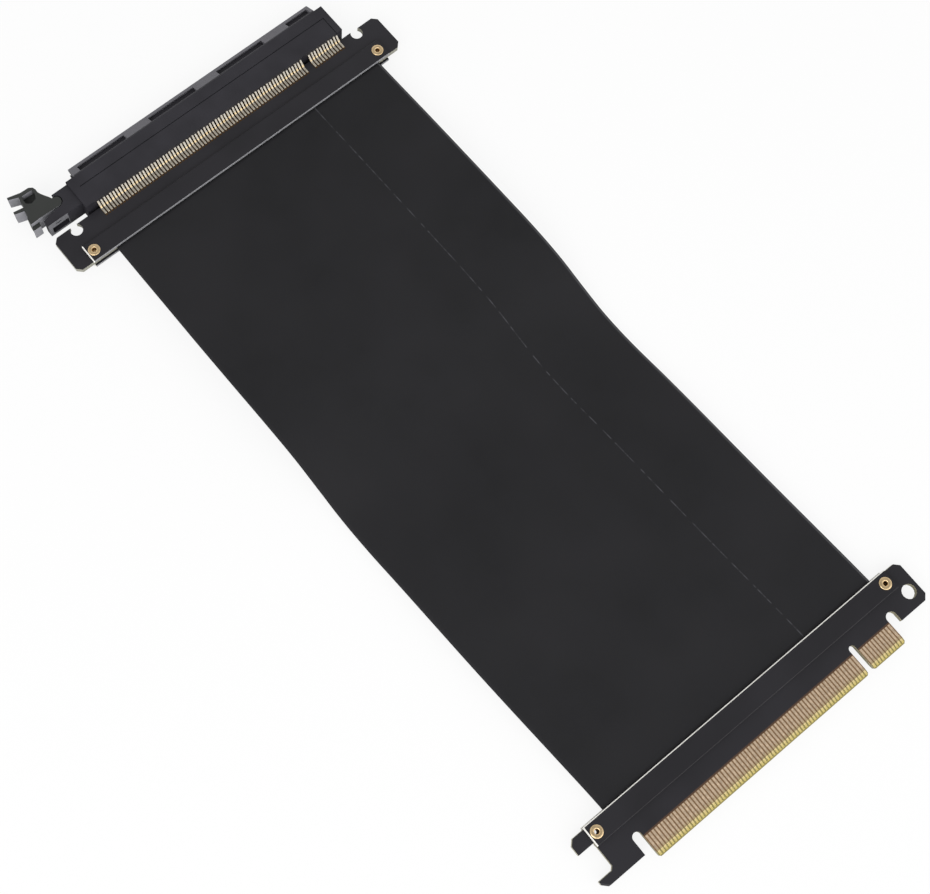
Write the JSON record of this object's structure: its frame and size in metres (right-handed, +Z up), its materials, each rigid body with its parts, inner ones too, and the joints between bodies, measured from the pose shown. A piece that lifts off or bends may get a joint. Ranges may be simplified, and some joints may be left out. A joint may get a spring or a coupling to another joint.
{
  "type": "gpu riser cable",
  "caption": "Flat wrapped ribbon cable between a latched card slot on a small board and a board with a card-edge plug, lying flat in a low wave.",
  "frame": {"origin": "middle of the footprint on the surface it lies on", "axes": "+Y from the plug towards the mouth of the socket, +X along the rows of contacts towards the short group, +Z up"},
  "size_m": [0.1206, 0.2408, 0.0077],
  "materials": {
    "housing": "moulded, satin",
    "latch": "moulded, satin",
    "board": "solder mask, satin",
    "strip": "solder mask, satin",
    "eyelet": "pressed",
    "cable": "extruded",
    "wrap": "matte cloth tape"
  },
  "bodies": {
    "cable": {"socket_housing": "housing", "socket_board": "board", "socket_strip_upper": "strip", "socket_strip_lower": "strip", "socket_eyelet_left": "eyelet", "socket_eyelet_right": "eyelet", "plug_board": "board", "plug_strip_upper": "strip", "plug_strip_lower": "strip", "plug_eyelet_left": "eyelet", "plug_eyelet_right": "eyelet", "ribbon_wrap": "wrap", "ribbon_layer_upper": "cable", "ribbon_layer_lower": "cable"},
    "latch": {"socket_latch": "latch"}
  },
  "joints": [
    {"name": "latch_pivot", "type": "hinge", "parent": "cable", "child": "latch", "pos_m": [-0.04939, 0.11131, 0.00385], "axis": [0, 0, 1], "range_deg": [0, 10]}
  ]
}
